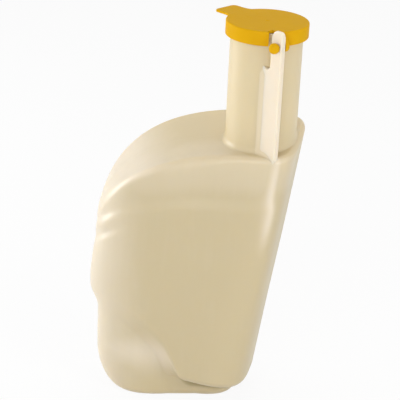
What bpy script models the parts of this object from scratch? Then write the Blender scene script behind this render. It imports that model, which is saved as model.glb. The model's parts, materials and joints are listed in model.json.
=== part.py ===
"""Flat-backed one-litre bottle with a straight round neck and a snap lid hinged on a moulded post.

Frame: metres, +Z up, +X to the right along the wide face, -Y to the front.
The origin is the middle of the flat patch that the bottle stands on.
"""

import math

import bmesh
import bpy
import numpy as np
from mathutils import Matrix, Vector

MM = 0.001

# Belly: how far it reaches from the origin on each side, and its swell at the left
WALL = 1.5 * MM
BELLY_LEFT = 56.2 * MM
BELLY_SWELL = 5.8 * MM
SWELL_HEIGHT = 80.3 * MM
SWELL_SPREAD = 29.4 * MM
BELLY_RIGHT = 76.8 * MM
RIGHT_SLOPE = 0.137
BELLY_FRONT = 34.0 * MM
BELLY_MIDDLE = 8.3 * MM
BACK = 33.1 * MM
BACK_FLARE = 6.4 * MM
FLARE_START = 86.0 * MM
FLARE_RUN = 55.0 * MM

# Roundness of the belly's corners in plan: 2 is an ellipse, more is squarer
ROUND_LEFT = 3.0
ROUND_RIGHT_LOW = 3.4
ROUND_RIGHT_HIGH = 5.8
SQUARE_START = 58.0 * MM
SQUARE_RUN = 83.0 * MM

# Foot: the smaller block under the belly that the bottle stands on
FOOT_LEFT = 56.0 * MM
FOOT_RIGHT = 44.0 * MM
FOOT_MIDDLE = -2.8 * MM
FOOT_FRONT = 25.5 * MM
FOOT_FRONT_SLOPE = 0.16
FOOT_ROUND = 10.0 * MM
FOOT_INSET = 9.0 * MM
FOOT_ROUND_FRONT = 6.0 * MM
FOOT_INSET_FRONT = 4.0 * MM
FOOT_ROUND_LEFT = 30.0 * MM
FOOT_INSET_LEFT = 20.0 * MM
ROUND_FOOT = 2.9

# Lip: the lower edge of the belly, over the foot
LIP_LOW = 16.1 * MM
LIP_RISE = 49.0 * MM
LIP_START = 18.0 * MM
LIP_RUN = 62.0 * MM
LIP_BEND = 1.6
LIP_EASE = 0.35
LIP_FALL = 0.05
LIP_ROUND = 6.5 * MM
LIP_SHARP = 2.8 * MM
LIP_SOFT = 16.5 * MM
LIP_SOFT_START = 16.0 * MM
LIP_SOFT_RUN = 24.0 * MM

# Crease between the belly and the upper roll
CREASE_LOW = 117.5 * MM
CREASE_RISE = 41.0 * MM
CREASE_DEPTH = 1.7 * MM
CREASE_WIDTH = 4.1 * MM
CREASE_MIDDLE = 0.35
CREASE_FADE = 3.0
RELIEF_FADE = 1.6
ROLL_SETBACK = 2.3 * MM
ROLL_BLEND = 7.4 * MM
CORNER_RIB = 0.9 * MM
CORNER_RIB_ANGLE = 315.0
CORNER_RIB_SPREAD = 0.16
CORNER_RIB_START = 118.0 * MM
CORNER_RIB_RUN = 55.0 * MM

# Roof: the vault over the belly, which the neck stands on
ARCH_RIGHT = 64.4 * MM
ARCH_RUN = 121.0 * MM
ARCH_FULLNESS = 2.1
ROOF_LOW = 117.0 * MM
ROOF_RISE = 73.0 * MM
ROOF_TILT = 11.8 * MM
ROOF_TILT_BEND = 1.5
ROOF_EDGE = 4.0 * MM

# Neck, with a snap bead under its rim
NECK_X = 50.6 * MM
NECK_RADIUS = 23.3 * MM
NECK_FOOT = 189.8 * MM
NECK_FLARE = 5.5 * MM
NECK_FLARE_RIGHT = 1.5 * MM
NECK_FLARE_HEIGHT = 8.3 * MM
NECK_LENGTH = 80.0 * MM
BEAD = 0.8 * MM
BEAD_DROP = 4.2 * MM
BEAD_HEIGHT = 1.7 * MM

# Lid
LID_RADIUS = 26.6 * MM
LID_TOP = 1.7 * MM
LID_SKIRT = 9.2 * MM
LID_WALL = 1.4 * MM
LID_EDGE = 0.9 * MM
SNAP_HEIGHT = 0.6 * MM
SEAL_RADIUS = 18.9 * MM
SEAL_DEPTH = 1.8 * MM
SEAL_WALL = 1.2 * MM
SEAL_TAPER = 0.5 * MM
TAB_AZIMUTH = -122.0
TAB_REACH = 38.5 * MM
TAB_WIDTH = 24.0 * MM
TAB_END = 18.8 * MM
TAB_CORNER = 3.2 * MM
TAB_FLANK = 7.0 * MM
TAB_THICKNESS = 2.0 * MM
TAB_ROOT = 5.5 * MM

# Hinge: the fin moulded on the neck, its post, the pin and the ear on the lid
HINGE_AZIMUTH = 56.0
POST_OFFSET = 15.7 * MM
POST_THICKNESS = 4.2 * MM
POST_INNER = 20.9 * MM
POST_OUTER = 29.6 * MM
POST_ABOVE_LID = 2.4 * MM
POST_ROUND = 6.0 * MM
POST_EDGE = 1.4 * MM
TIP_FALL = 8.0 * MM
TIP_EDGE = 0.3 * MM
SLOT_DEPTH = 15.6 * MM
SLOT_WIDTH = 5.2 * MM
SLOT_END = -150.0
FIN_ROOT = 13.0 * MM
FIN_BURIED = 20.0 * MM
FIN_TAPER = 6.0 * MM
HINGE_OUT = 26.2 * MM
HINGE_LIFT = 0.8 * MM
PIN_RADIUS = 2.1 * MM
PIN_EDGE = 0.4 * MM
BALL_RADIUS = 3.4 * MM
BALL_FOOT = 2.55 * MM
EAR_THICKNESS = 3.0 * MM
EAR_RADIUS = 3.9 * MM
EAR_TOP = 6.9 * MM

# Fits
SEAT_GAP = 0.3 * MM
PIN_GAP = 0.3 * MM
SWING_GAP = 0.5 * MM
CUT_PAST = 4.0 * MM

# Mesh fineness
COLUMNS = 64
HOLLOW_COLUMNS = 48
TURN_STEPS = 64
PIN_STEPS = 32
SPACING_SAMPLES = 4001
SPACING_POWER = 0.5
SPACING_SHARE = 0.6
ACROSS_POWER = 0.6
RIDGE_ROUNDS = 4
FOOT_ROWS = (0.0, 0.08, 0.22, 0.45, 0.75)
UNDER_LIP_ROWS = (0.4, 0.75)
LIP_ROWS = (0.0, 0.25, 0.5, 0.75, 1.0)
OVER_LIP_ROWS = (0.3, 0.65, 1.0)
BELLY_ROWS = (0.25, 0.5, 0.75, 1.0)
CREASE_ROWS = (0.0, 0.3, 0.7, 1.0)
SHOULDER_ROWS = (0.06, 0.14, 0.26, 0.42, 0.6, 0.8, 1.0)
SHOULDER_CROWD = 1.6
FILLET_BENDS = (22.5, 45.0, 67.5, 90.0)
BEAD_ROWS = ((0.0, -1.0), (1.0, -0.3), (1.0, 0.3), (0.0, 1.0))
WELD = 1e-6
SHARP_ANGLE = 40.0

# Finish
MILKY_COLOUR = (0.68, 0.60, 0.42)
MILKY_ROUGHNESS = 0.35
YELLOW_COLOUR = (0.75, 0.40, 0.02)
YELLOW_ROUGHNESS = 0.4

RIM = NECK_FOOT + NECK_LENGTH
LID_UNDER = RIM + SEAT_GAP
LID_HEIGHT = LID_UNDER + LID_TOP
SKIRT_BOTTOM = LID_HEIGHT - LID_SKIRT
HINGE_HEIGHT = SKIRT_BOTTOM + HINGE_LIFT
POST_TIP = LID_HEIGHT + POST_ABOVE_LID
EAR_OFFSET = POST_OFFSET - POST_THICKNESS / 2.0 - SWING_GAP - EAR_THICKNESS / 2.0
UP = Vector((0.0, 0.0, 1.0))


def smoothstep(value):
    """0 below 0, 1 above 1, and an even S between."""
    t = np.clip(value, 0.0, 1.0)
    return t * t * (3.0 - 2.0 * t)


def signed_power(value, power):
    """The size of a number raised to a power, with its sign kept."""
    return np.sign(value) * np.abs(value) ** power


def column_angles(count):
    """Angles that share the columns out both along the wall of the belly and round the neck."""
    fine = np.linspace(0.0, 2.0 * math.pi, SPACING_SAMPLES)
    x = BELLY_MIDDLE + signed_power(np.cos(fine), SPACING_POWER) * (BELLY_RIGHT - BELLY_MIDDLE)
    y = signed_power(np.sin(fine), SPACING_POWER) * BELLY_FRONT
    along = np.concatenate([[0.0], np.cumsum(np.hypot(np.diff(x), np.diff(y)))])
    turned_by = np.unwrap(np.arctan2(y, x - NECK_X))
    share = SPACING_SHARE * along / along[-1] + (1.0 - SPACING_SHARE) * turned_by / turned_by[-1]
    return np.interp(np.arange(count) / count, share, fine)


def across(angle):
    """The X of a column on a plain section, which the lip, the crease and the ridge are drawn over."""
    return BELLY_MIDDLE + (BELLY_LEFT + BELLY_MIDDLE) * signed_power(np.cos(angle), ACROSS_POWER)


def arch(x, low, rise, run):
    """Height of a full quarter ellipse that climbs from the left side and levels out at the right."""
    part = np.clip((ARCH_RIGHT - x) / run, 0.0, 1.0)
    return low + rise * (1.0 - part**ARCH_FULLNESS) ** (1.0 / ARCH_FULLNESS)


def crease_height(x):
    """Height of the crease, an arch under the roof."""
    return arch(x, CREASE_LOW, CREASE_RISE, ARCH_RUN)


def roof_height(x, y, wall):
    """Height of the vault over the belly, or of the hollow's: an arch that rises towards the back."""
    backward = np.clip((y + BELLY_FRONT) / (BELLY_FRONT + BACK), 0.0, 1.0)
    tilt = ROOF_TILT * backward**ROOF_TILT_BEND
    return arch(x, ROOF_LOW - wall, ROOF_RISE, ARCH_RUN + BACK_FLARE * backward - wall) + tilt


def lip_height(x):
    """Lower edge of the belly: high at the left, sweeping down to run nearly level at the right."""
    fall = np.clip((LIP_START - x) / LIP_RUN, 0.0, 1.0)
    rise = LIP_RISE * (1.0 - (1.0 - fall) ** LIP_BEND) * smoothstep(fall / LIP_EASE)
    return LIP_LOW + rise - LIP_FALL * np.maximum(x - LIP_START, 0.0)


def softness(x):
    """0 where the belly ends in a rounded lip, at the right, and 1 where it ends in a soft roll."""
    return smoothstep((LIP_SOFT_START - x) / LIP_SOFT_RUN)


def lip_width(x):
    """Height that the step under the belly takes."""
    return LIP_SHARP + (LIP_SOFT - LIP_SHARP) * softness(x)


def quarter(height, round_height, inset):
    """How far a rounded edge is drawn in at a height over its end: a quarter ellipse."""
    low = np.clip(1.0 - height / round_height, 0.0, 1.0)
    return inset * (1.0 - np.sqrt(1.0 - low**2))


def section(angle, left, right, front, back, middle, power):
    """A closed section about (middle, 0) with its own reach on each side and its own squareness."""
    c, s = np.cos(angle), np.sin(angle)
    x = middle + np.where(c < 0.0, left + middle, right - middle) * signed_power(c, 2.0 / power)
    y = np.where(s < 0.0, front, back) * signed_power(s, 2.0 / power)
    return x, y


def foot_section(angle, z, wall):
    """The foot's wall, drawn in towards its flat bottom, most of all at the left."""
    left = FOOT_LEFT - wall - quarter(z - wall, FOOT_ROUND_LEFT, FOOT_INSET_LEFT)
    inset = wall + quarter(z - wall, FOOT_ROUND, FOOT_INSET)
    front = FOOT_FRONT - FOOT_FRONT_SLOPE * np.clip(across(angle), -FOOT_LEFT, FOOT_RIGHT)
    front -= wall + quarter(z - wall, FOOT_ROUND_FRONT, FOOT_INSET_FRONT)
    return section(angle, left, FOOT_RIGHT - inset, front, BACK - inset, FOOT_MIDDLE, ROUND_FOOT)


def belly_section(angle, z, wall):
    """The belly's wall: it swells at the left, slopes in at the right and flares out at the back."""
    swell = BELLY_SWELL * np.exp(-(((z - SWELL_HEIGHT) / SWELL_SPREAD) ** 2))
    right = BELLY_RIGHT - RIGHT_SLOPE * (NECK_FOOT - z)
    high = smoothstep((z - SQUARE_START) / SQUARE_RUN)
    square = ROUND_RIGHT_LOW + (ROUND_RIGHT_HIGH - ROUND_RIGHT_LOW) * high
    power = np.where(np.cos(angle) < 0.0, ROUND_LEFT, square)
    over = z - wall - lip_height(across(angle))
    inset = wall + quarter(over, LIP_ROUND, LIP_ROUND) * (1.0 - softness(across(angle)))
    left = BELLY_LEFT + swell - wall
    x, y = section(angle, left, right - inset, BELLY_FRONT - inset, BACK - wall, BELLY_MIDDLE, power)
    leftward = np.clip(-np.cos(angle), 0.0, 1.0)
    flare = smoothstep((z - FLARE_START) / FLARE_RUN) * smoothstep((y + BELLY_FRONT) / (BELLY_FRONT + BACK))
    return x - BACK_FLARE * flare * leftward, y


def relief(angle, z):
    """How far the crease and the set-back roll pull the front wall in, less the rib down its right corner."""
    over = z - crease_height(across(angle))
    front = np.clip(-RELIEF_FADE * np.sin(angle), 0.0, 1.0)
    side = CREASE_MIDDLE + (1.0 - CREASE_MIDDLE) * np.abs(np.cos(angle)) ** CREASE_FADE
    groove = CREASE_DEPTH * side * np.exp(-((over / CREASE_WIDTH) ** 2))
    setback = ROLL_SETBACK * smoothstep(over / ROLL_BLEND + 0.5)
    corner = np.exp(-(((angle - math.radians(CORNER_RIB_ANGLE)) / CORNER_RIB_SPREAD) ** 2))
    rib = CORNER_RIB * corner * smoothstep((z - CORNER_RIB_START) / CORNER_RIB_RUN)
    return (groove + setback) * front - rib


def wall_row(angle, z, wall):
    """One row of the side wall at a height for each column, moved in by the wall's thickness."""
    foot_x, foot_y = foot_section(angle, z, wall)
    belly_x, belly_y = belly_section(angle, z, wall)
    over = z - wall - lip_height(across(angle))
    step = smoothstep(over / lip_width(across(angle)) + 0.5)
    x = foot_x + (belly_x - foot_x) * step
    y = foot_y + (belly_y - foot_y) * step
    shrink = 1.0 - relief(angle, z) / np.hypot(x - BELLY_MIDDLE, y)
    return np.stack([BELLY_MIDDLE + (x - BELLY_MIDDLE) * shrink, y * shrink, z], 1)


def shares(low, high, parts):
    """Rows of heights at these parts of the way from one row to another."""
    return [low + (high - low) * part for part in parts]


def ridge_height(angle, wall):
    """Height where the wall ends: the roof over the wall's own top, less the roof's rounded edge."""
    z = np.full_like(angle, ROOF_LOW)
    for _ in range(RIDGE_ROUNDS):
        z = roof_height(*belly_section(angle, z, wall), wall) - ROOF_EDGE
    return z


def wall_heights(angle, wall):
    """Heights of the wall's rows, which follow the lip, the crease and the ridge round the body."""
    x = across(angle)
    ridge = ridge_height(angle, wall)
    lip = lip_height(x) + wall
    crease = np.minimum(crease_height(x), ridge - CREASE_WIDTH)
    half = lip_width(x) / 2.0
    floor = np.full_like(angle, wall)
    round_top = np.minimum(floor + FOOT_ROUND, lip - half)
    heights = shares(floor, round_top, FOOT_ROWS)
    heights += shares(round_top, lip - half, UNDER_LIP_ROWS)
    heights += shares(lip - half, lip + half, LIP_ROWS)
    heights += shares(lip + half, lip + half + LIP_ROUND, OVER_LIP_ROWS)
    heights += shares(lip + half + LIP_ROUND, crease - 2.0 * CREASE_WIDTH, BELLY_ROWS)
    heights += shares(crease - CREASE_WIDTH, crease + CREASE_WIDTH, CREASE_ROWS)
    return heights + shares(crease + CREASE_WIDTH, ridge, BELLY_ROWS)


def neck_ring(turn, radius, z):
    """Points at a radius and a height about the neck's axis."""
    level = np.broadcast_to(z, turn.shape)
    return np.stack([NECK_X + radius * np.cos(turn), radius * np.sin(turn), level], 1)


def flare_at(turn):
    """The fillet at the neck's foot, narrow at the right where the neck runs flush with the side."""
    rightward = np.clip(np.cos(turn), 0.0, 1.0) ** 2
    return NECK_FLARE + (NECK_FLARE_RIGHT - NECK_FLARE) * rightward


def shoulder_rows(edge, foot, wall):
    """Rows over the roof from the top of the wall to the foot of the neck, with the roof's edge rounded."""
    span = foot[:, :2] - edge[:, :2]
    level = roof_height(edge[:, 0], edge[:, 1], wall) - ROOF_EDGE
    rows = []
    for v in SHOULDER_ROWS:
        share = v**SHOULDER_CROWD
        x, y = (edge[:, :2] + span * share).T
        drop = quarter(np.hypot(*span.T) * share, ROOF_EDGE, ROOF_EDGE)
        z = roof_height(x, y, wall) - drop + (edge[:, 2] - level) * (1.0 - v) ** 2
        rows.append(np.stack([x, y, z], 1))
    return rows


def neck_rows(turn, foot, wall):
    """The fillet at the foot and the straight neck; the outer skin has the bead and ends at the rim."""
    radius = NECK_RADIUS - wall
    rows = []
    for bend in np.radians(FILLET_BENDS):
        flared = radius + flare_at(turn) * (1.0 - math.sin(bend))
        rows.append(neck_ring(turn, flared, foot + NECK_FLARE_HEIGHT * (1.0 - math.cos(bend))))
    if wall:
        return rows + [neck_ring(turn, radius, RIM + CUT_PAST)]
    bead = RIM - BEAD_DROP
    for out, offset in BEAD_ROWS:
        rows.append(neck_ring(turn, radius + out * BEAD, bead + offset * BEAD_HEIGHT))
    return rows + [neck_ring(turn, radius, RIM)]


def skin_rows(columns, wall):
    """Rows of points from the foot to the rim: the outer skin, or with a wall the skin of the hollow."""
    angle = column_angles(columns)
    rows = [wall_row(angle, z, wall) for z in wall_heights(angle, wall)]
    turn = np.arctan2(rows[-1][:, 1], rows[-1][:, 0] - NECK_X)
    foot = neck_ring(turn, NECK_RADIUS - wall + flare_at(turn), NECK_FOOT)
    rows += shoulder_rows(rows[-1], foot, wall)
    return rows + neck_rows(turn, rows[-1][:, 2], wall)


def loft(name, rows):
    """A closed mesh through rows of points, with one flat face at each end."""
    count = len(rows[0])
    last = (len(rows) - 1) * count
    faces = [tuple(range(count))[::-1], tuple(range(last, last + count))]
    for row in range(0, last, count):
        for column in range(count):
            a, b = row + column, row + (column + 1) % count
            faces.append((a, b, b + count, a + count))
    mesh = bpy.data.meshes.new(name)
    mesh.from_pydata(np.concatenate(rows).tolist(), [], faces)
    mesh.update()
    return bpy.data.objects.new(name, mesh)


def clear_scene():
    """Removes whatever the empty file starts with."""
    for item in list(bpy.data.objects):
        bpy.data.objects.remove(item, do_unlink=True)


def collection(name):
    """A new collection in the scene."""
    made = bpy.data.collections.new(name)
    bpy.context.scene.collection.children.link(made)
    return made


def plastic(name, colour, roughness):
    """A plain Principled material."""
    material = bpy.data.materials.new(name)
    material.use_nodes = True
    shader = material.node_tree.nodes["Principled BSDF"]
    shader.inputs["Base Color"].default_value = (*colour, 1.0)
    shader.inputs["Roughness"].default_value = roughness
    shader.inputs["Metallic"].default_value = 0.0
    return material


def as_mesh(item):
    """The evaluated object as a plain mesh object in world space, with its loose caps welded."""
    bpy.context.view_layer.update()
    depsgraph = bpy.context.evaluated_depsgraph_get()
    mesh = bpy.data.meshes.new_from_object(item.evaluated_get(depsgraph))
    mesh.transform(item.matrix_world)
    body = bmesh.new()
    body.from_mesh(mesh)
    bmesh.ops.remove_doubles(body, verts=body.verts, dist=WELD)
    bmesh.ops.recalc_face_normals(body, faces=body.faces)
    body.to_mesh(mesh)
    body.free()
    name = item.name
    bpy.data.objects.remove(item, do_unlink=True)
    return bpy.data.objects.new(name, mesh)


def turned(name, profile, placed, steps):
    """A profile of (radius, height) points, top to bottom, turned about Z and then placed."""
    mesh = bpy.data.meshes.new(name)
    points = [(radius, 0.0, height) for radius, height in profile]
    mesh.from_pydata(points, [(i, i + 1) for i in range(len(points) - 1)], [])
    item = bpy.data.objects.new(name, mesh)
    bpy.context.scene.collection.objects.link(item)
    screw = item.modifiers.new("turn", "SCREW")
    screw.steps = steps
    screw.render_steps = steps
    screw.use_merge_vertices = True
    screw.merge_threshold = WELD
    item.matrix_world = placed
    return as_mesh(item)


def plate(name, outline, thickness, placed):
    """A flat outline of (x, y) points as a plate of this thickness about its own plane, and then placed."""
    curve = bpy.data.curves.new(name, "CURVE")
    curve.dimensions = "2D"
    curve.fill_mode = "BOTH"
    curve.extrude = thickness / 2.0
    spline = curve.splines.new("POLY")
    spline.points.add(len(outline) - 1)
    for point, (x, y) in zip(spline.points, outline):
        point.co = (x, y, 0.0, 1.0)
    spline.use_cyclic_u = True
    item = bpy.data.objects.new(name, curve)
    bpy.context.scene.collection.objects.link(item)
    item.matrix_world = placed
    return as_mesh(item)


def arc(centre, radius, start, end, steps):
    """Points on a circle from one angle to another, in degrees."""
    angles = np.radians(np.linspace(start, end, steps + 1))
    return [(centre[0] + radius * math.cos(a), centre[1] + radius * math.sin(a)) for a in angles]


def heading(azimuth):
    """A level direction, turned from the front towards the right by this many degrees."""
    turn = math.radians(azimuth)
    return Vector((math.sin(turn), -math.cos(turn), 0.0))


def hinge_frame(out, aside, height):
    """A frame in the fin's plane: X runs outwards, Y up, and Z along the pin towards its ball."""
    outward = heading(HINGE_AZIMUTH)
    normal = outward.cross(UP)
    frame = Matrix((outward, UP, normal)).transposed().to_4x4()
    frame.translation = Vector((NECK_X, 0.0, height)) + outward * out + normal * aside
    return frame


def drill(name, aside, length):
    """A cutter for the pin's hole through one of the pieces that it passes."""
    radius = PIN_RADIUS + PIN_GAP
    profile = [(0.0, length), (radius, length), (radius, -length), (0.0, -length)]
    return turned(name, profile, hinge_frame(HINGE_OUT, aside, HINGE_HEIGHT), PIN_STEPS)


def boolean(item, operation, other, cutters):
    """Joins or cuts with another object, which is kept out of sight among the cutters."""
    cutters.objects.link(other)
    other.hide_render = True
    other.display_type = "WIRE"
    step = item.modifiers.new(other.name, "BOOLEAN")
    step.operation = operation
    step.solver = "EXACT"
    step.object = other


def add_part(item, parts, material):
    """Links a piece among the parts with its material, smooth but for its sharp edges."""
    parts.objects.link(item)
    item.data.materials.clear()
    item.data.materials.append(material)
    item.data.shade_smooth()
    item.data.set_sharp_from_angle(angle=math.radians(SHARP_ANGLE))


def set_origin(item, point):
    """Moves the object's origin to a point and leaves its shape where it is."""
    item.data.transform(Matrix.Translation(-point))
    item.location = point


def fin_outline():
    """The fin as (out, height): it rises from the shoulder, with a slot behind the post's rounded top."""
    slot_round = SLOT_WIDTH / 2.0
    slot = HINGE_HEIGHT - SLOT_DEPTH + slot_round
    low = NECK_FOOT - FIN_BURIED
    edge = POST_OUTER - POST_EDGE
    points = [(FIN_ROOT, low), (POST_OUTER - FIN_TAPER, low), (POST_OUTER, NECK_FOOT)]
    points += arc((edge, POST_TIP - POST_EDGE), POST_EDGE, 0.0, 90.0, 4)
    points += arc((POST_INNER + POST_ROUND, POST_TIP - POST_ROUND), POST_ROUND, 90.0, 180.0, 8)
    points += arc((POST_INNER - slot_round, slot), slot_round, 0.0, SLOT_END, 8)
    return points + [(FIN_ROOT, points[-1][1])]


def tip_outline():
    """What the post's tip loses on its far side, as (aside, height): all outside a quarter ellipse."""
    half = POST_THICKNESS / 2.0
    far = -half - SWING_GAP
    wide = POST_THICKNESS - 2.0 * TIP_EDGE
    points = [(far, POST_TIP - TIP_FALL)]
    for bend in np.radians((0.0, *FILLET_BENDS)):
        aside = half - TIP_EDGE - wide * math.cos(bend)
        points.append((aside, POST_TIP - TIP_FALL * (1.0 - math.sin(bend))))
    return points + [(half - TIP_EDGE, POST_TIP + CUT_PAST), (far, POST_TIP + CUT_PAST)]


def tip_cutter():
    """A cutter that rounds the far side of the post's tip and stays clear of the neck."""
    near = POST_INNER - SWING_GAP
    far = POST_OUTER + CUT_PAST
    turn = Matrix.Rotation(math.radians(-90.0), 4, "Y")
    placed = hinge_frame((near + far) / 2.0, POST_OFFSET, 0.0) @ turn
    return plate("post_tip", tip_outline(), far - near, placed)


def build_bottle(parts, cutters, material):
    """The skin with the fin joined on, then hollowed, drilled for the pin and rounded at the post's tip."""
    bottle = loft("bottle", skin_rows(COLUMNS, 0.0))
    add_part(bottle, parts, material)
    fin = plate("hinge_fin", fin_outline(), POST_THICKNESS, hinge_frame(0.0, POST_OFFSET, 0.0))
    boolean(bottle, "UNION", fin, cutters)
    boolean(bottle, "DIFFERENCE", loft("bottle_hollow", skin_rows(HOLLOW_COLUMNS, WALL)), cutters)
    boolean(bottle, "DIFFERENCE", drill("post_hole", POST_OFFSET, POST_THICKNESS), cutters)
    boolean(bottle, "DIFFERENCE", tip_cutter(), cutters)


def lid_profile():
    """Half section of the lid: flat top, skirt with a snap ring inside, and a lip that enters the neck."""
    inner = LID_RADIUS - LID_WALL
    snap = RIM - BEAD_DROP - BEAD_HEIGHT - SEAT_GAP
    snap_radius = NECK_RADIUS + BEAD + SEAT_GAP
    seal = LID_UNDER - SEAL_DEPTH
    corner = arc((LID_RADIUS - LID_EDGE, LID_HEIGHT - LID_EDGE), LID_EDGE, 90.0, 0.0, 3)
    skirt = [(LID_RADIUS, SKIRT_BOTTOM), (inner, SKIRT_BOTTOM), (snap_radius, snap - SNAP_HEIGHT)]
    inside = [(snap_radius, snap), (inner, snap + SNAP_HEIGHT), (inner, LID_UNDER), (SEAL_RADIUS, LID_UNDER)]
    lip = [(SEAL_RADIUS - SEAL_TAPER, seal), (SEAL_RADIUS - SEAL_WALL, seal)]
    under = [(SEAL_RADIUS - SEAL_WALL, LID_UNDER), (0.0, LID_UNDER)]
    return [(0.0, LID_HEIGHT)] + corner + skirt + inside + lip + under


def tab_outline():
    """The thumb tab as (aside, out): hollow flanks run out to a straight end with round corners."""
    half = TAB_WIDTH / 2.0
    end = TAB_END / 2.0
    root = math.sqrt(LID_RADIUS**2 - half**2)
    right = [(half, root - TAB_ROOT)]
    for bend in np.linspace(0.0, math.pi / 2.0, 7):
        right.append((half - (half - end) * math.sin(bend), root + TAB_FLANK * (1.0 - math.cos(bend))))
    right += arc((end - TAB_CORNER, TAB_REACH - TAB_CORNER), TAB_CORNER, 0.0, 90.0, 6)
    return right + [(-aside, out) for aside, out in reversed(right)]


def ear_outline():
    """The ear as (out, up) from the hinge axis: a disc round the pin with a neck up into the skirt."""
    return arc((0.0, 0.0), EAR_RADIUS, -180.0, 30.0, 14) + [(0.0, EAR_TOP), (-EAR_RADIUS, EAR_TOP)]


def notch_outline():
    """The gap in the lid round the post, as (out, up): clear of its tip above, and of the snap ring below."""
    round_out = POST_INNER + POST_ROUND - HINGE_OUT
    clear = math.hypot(round_out, POST_TIP - POST_ROUND - HINGE_HEIGHT) + POST_ROUND + SWING_GAP
    deep = HINGE_OUT - math.sqrt(clear**2 - (LID_UNDER - HINGE_HEIGHT) ** 2)
    aside = POST_OFFSET + POST_THICKNESS / 2.0 + SWING_GAP
    ring = math.sqrt((NECK_RADIUS + BEAD + SEAT_GAP) ** 2 - aside**2) - SWING_GAP
    top = LID_SKIRT + CUT_PAST
    shelf = LID_SKIRT - LID_TOP - SEAT_GAP
    far = POST_OUTER + CUT_PAST
    return [(ring, -CUT_PAST), (far, -CUT_PAST), (far, top), (deep, top), (deep, shelf), (ring, shelf)]


def build_lid(parts, cutters, material, hinge):
    """The turned cap with its tab and ear joined on, then cut for the post and the pin."""
    lid = turned("lid", lid_profile(), Matrix.Translation((NECK_X, 0.0, 0.0)), TURN_STEPS)
    add_part(lid, parts, material)
    outward = heading(TAB_AZIMUTH)
    placed = Matrix((outward.cross(UP), outward, UP)).transposed().to_4x4()
    placed.translation = (NECK_X, 0.0, LID_HEIGHT - TAB_THICKNESS / 2.0)
    boolean(lid, "UNION", plate("lid_tab", tab_outline(), TAB_THICKNESS, placed), cutters)
    ear = plate("lid_ear", ear_outline(), EAR_THICKNESS, hinge_frame(HINGE_OUT, EAR_OFFSET, HINGE_HEIGHT))
    boolean(lid, "UNION", ear, cutters)
    gap = POST_THICKNESS + 2.0 * SWING_GAP
    notch = plate("post_notch", notch_outline(), gap, hinge_frame(0.0, POST_OFFSET, SKIRT_BOTTOM))
    boolean(lid, "DIFFERENCE", notch, cutters)
    boolean(lid, "DIFFERENCE", drill("ear_hole", EAR_OFFSET, EAR_THICKNESS), cutters)
    set_origin(lid, hinge)


def build_pin(parts, material, hinge):
    """The pin: a shank from the ear through the post, with a ball head on a flat foot."""
    head = POST_THICKNESS / 2.0 + SEAT_GAP
    tail = EAR_OFFSET - EAR_THICKNESS / 2.0 - POST_OFFSET
    below = math.sqrt(BALL_RADIUS**2 - BALL_FOOT**2)
    ball = arc((0.0, head + below), BALL_RADIUS, 90.0, -math.degrees(math.asin(below / BALL_RADIUS)), 10)
    shank = [(PIN_RADIUS, head), (PIN_RADIUS, tail + PIN_EDGE), (PIN_RADIUS - PIN_EDGE, tail), (0.0, tail)]
    pin = turned("hinge_pin", ball + shank, hinge_frame(HINGE_OUT, POST_OFFSET, HINGE_HEIGHT), PIN_STEPS)
    add_part(pin, parts, material)
    set_origin(pin, hinge)


def main():
    """Builds the three pieces in their own frame."""
    clear_scene()
    parts = collection("hinged_lid_bottle")
    cutters = collection("cutters")
    milky = plastic("milky_plastic", MILKY_COLOUR, MILKY_ROUGHNESS)
    yellow = plastic("yellow_plastic", YELLOW_COLOUR, YELLOW_ROUGHNESS)
    hinge = hinge_frame(HINGE_OUT, POST_OFFSET, HINGE_HEIGHT).translation
    build_bottle(parts, cutters, milky)
    build_lid(parts, cutters, yellow, hinge)
    build_pin(parts, yellow, hinge)
    print("hinge at", [round(v, 5) for v in hinge])
    print("hinge along", [round(v, 5) for v in heading(HINGE_AZIMUTH).cross(UP)])


main()
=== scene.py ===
# %% [markdown]
# # A flat-backed bottle with a hinged yellow lid
# The real one is a thin, milky, blow-moulded bottle with a straight neck and a lid that snaps on it.
# The imported model is its frame: it says where each piece is, what turns on what, and how big it all is.
# Here finer skins and finishes are laid over that frame, so the first step loads it and keeps its record.

# %% Load the imported model
import json
import math

import bmesh
import bpy
import numpy as np
from mathutils import Matrix, Vector
from mathutils.bvhtree import BVHTree
from mathutils.geometry import tessellate_polygon


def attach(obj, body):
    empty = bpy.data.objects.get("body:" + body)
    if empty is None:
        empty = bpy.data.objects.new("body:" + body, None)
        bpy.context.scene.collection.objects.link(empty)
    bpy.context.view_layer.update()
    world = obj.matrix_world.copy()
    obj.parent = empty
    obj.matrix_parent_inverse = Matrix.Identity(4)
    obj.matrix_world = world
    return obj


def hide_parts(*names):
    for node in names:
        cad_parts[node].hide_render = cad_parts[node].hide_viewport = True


MM = 0.001
scene = bpy.context.scene
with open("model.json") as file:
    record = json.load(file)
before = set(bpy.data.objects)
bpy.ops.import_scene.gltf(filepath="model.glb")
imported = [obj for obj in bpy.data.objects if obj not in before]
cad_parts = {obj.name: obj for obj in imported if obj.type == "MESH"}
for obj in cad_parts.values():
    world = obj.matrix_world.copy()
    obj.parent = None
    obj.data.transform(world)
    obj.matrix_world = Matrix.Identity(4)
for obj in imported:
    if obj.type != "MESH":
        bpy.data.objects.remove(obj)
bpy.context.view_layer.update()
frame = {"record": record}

# %% [markdown]
# ## From rows of points to a mesh
# Every piece here is worked out as rows of points that run once round it, like the hoops of a barrel.
# A modeller could draw the same skins by hand, but a formula is easy to check and to make finer.
# Three small helpers turn such rows into faces: one for the bands between rows, one for a skin that
# closes to a point at each end, and one that puts the mesh into the scene.

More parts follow.
